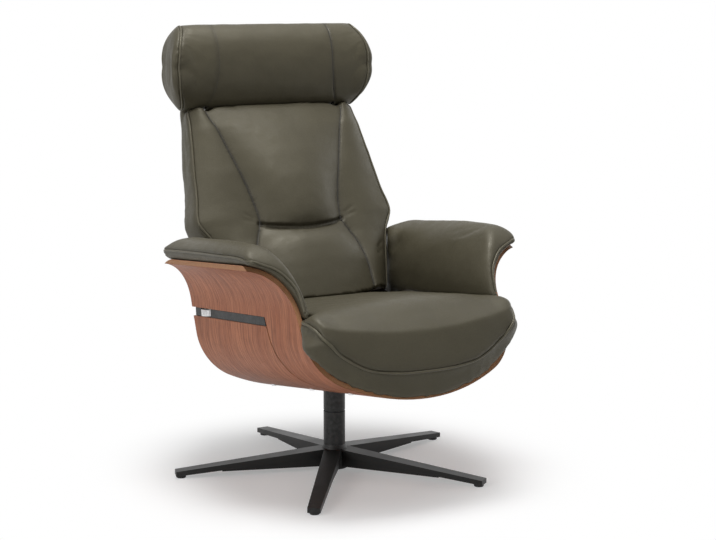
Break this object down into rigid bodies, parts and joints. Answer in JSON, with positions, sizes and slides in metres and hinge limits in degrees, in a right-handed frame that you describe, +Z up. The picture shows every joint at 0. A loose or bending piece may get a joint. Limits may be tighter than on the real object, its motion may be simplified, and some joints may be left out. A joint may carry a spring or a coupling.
{
  "type": "star base swivel recliner",
  "caption": "Swivel recliner armchair with a bent walnut plywood shell, dark taupe leather cushions, a head roll on chrome posts and a black star base.",
  "frame": {"origin": "at floor level under the middle of the outer box, 13.8 mm in front of the swivel axis", "axes": "+Z up, -Y to the front of the chair, +X to the right as seen from the front"},
  "size_m": [0.7704, 0.8736, 1.101],
  "materials": {
    "leather": "matte pebbled",
    "walnut_veneer": "satin lacquered veneer on bent plywood",
    "plain_plywood": "raw plywood",
    "black_metal": "satin black powder coat",
    "chrome": "polished",
    "bright_steel": "bright",
    "turned_aluminium": "ribbed, satin",
    "black_plastic": "matte"
  },
  "bodies": {
    "base": {"star_base": "black_metal", "column_tube": "black_metal", "bush_upper": "black_plastic", "bush_lower": "black_plastic", "hub_cap": "black_plastic", "thrust_washer": "black_plastic", "glide_1": "black_plastic", "glide_2": "black_plastic", "glide_3": "black_plastic", "glide_4": "black_plastic", "glide_5": "black_plastic"},
    "chassis": {"column_sleeve": "black_metal", "swivel_spindle": "bright_steel", "retaining_ring": "bright_steel", "shell_front": "walnut_veneer", "shell_rear": "walnut_veneer", "chassis_frame": "black_metal", "shell_screw_1": "bright_steel", "shell_screw_2": "bright_steel", "shell_screw_3": "bright_steel", "shell_screw_4": "bright_steel", "shell_screw_5": "bright_steel", "shell_screw_6": "bright_steel", "seat_rail_left": "black_metal", "arm_bar_left": "black_metal", "knob_pin_left": "bright_steel", "arm_pad_left": "leather", "pivot_pin_left": "bright_steel", "seat_rail_right": "black_metal", "arm_bar_right": "black_metal", "knob_pin_right": "bright_steel", "arm_pad_right": "leather", "pivot_pin_right": "bright_steel"},
    "seat": {"seat_cushion": "leather", "seat_pan": "plain_plywood", "seat_runner_left": "bright_steel", "seat_bracket_left": "black_metal", "seat_runner_right": "bright_steel", "seat_bracket_right": "black_metal"},
    "back": {"back_cushion": "leather", "back_board": "plain_plywood", "back_cover": "leather", "back_arm_left": "black_metal", "pivot_bush_left": "black_plastic", "post_guide_left": "black_plastic", "post_collar_left": "chrome", "back_arm_right": "black_metal", "pivot_bush_right": "black_plastic", "post_guide_right": "black_plastic", "post_collar_right": "chrome"},
    "headrest_carrier": {"headrest_rod": "chrome", "headrest_post_left": "chrome", "headrest_post_right": "chrome"},
    "headrest": {"head_roll": "leather", "roll_core": "black_plastic"},
    "knob_left": {"friction_knob_left": "turned_aluminium"},
    "knob_right": {"friction_knob_right": "turned_aluminium"}
  },
  "joints": [
    {"name": "swivel", "type": "hinge", "parent": "base", "child": "chassis", "pos_m": [0, 0.0138, 0.152], "axis": [0, 0, 1], "continuous": true},
    {"name": "recline", "type": "hinge", "parent": "chassis", "child": "back", "pos_m": [0, 0.11168, 0.40388], "axis": [-1, 0, 0], "range_deg": [0, 24]},
    {"name": "seat_slide", "type": "slide", "parent": "chassis", "child": "seat", "axis": [0, -0.9952, 0.0976], "range_m": [0, 0.041]},
    {"name": "headrest_height", "type": "slide", "parent": "back", "child": "headrest_carrier", "axis": [0, 0.4633, 0.8862], "range_m": [0, 0.06]},
    {"name": "headrest_tilt", "type": "hinge", "parent": "headrest_carrier", "child": "headrest", "pos_m": [0, 0.3718, 0.939], "axis": [1, 0, 0], "range_deg": [0, 20]},
    {"name": "knob_turn_left", "type": "hinge", "parent": "chassis", "child": "knob_left", "pos_m": [-0.256, 0.17935, 0.39724], "axis": [0, 0.0976, 0.9952], "range_deg": [-180, 180]},
    {"name": "knob_turn_right", "type": "hinge", "parent": "chassis", "child": "knob_right", "pos_m": [0.256, 0.17935, 0.39724], "axis": [0, 0.0976, 0.9952], "range_deg": [-180, 180]}
  ],
  "couplings": [
    {"joint": "seat_slide", "follows": "recline", "m_per_rad": 0.0971}
  ]
}
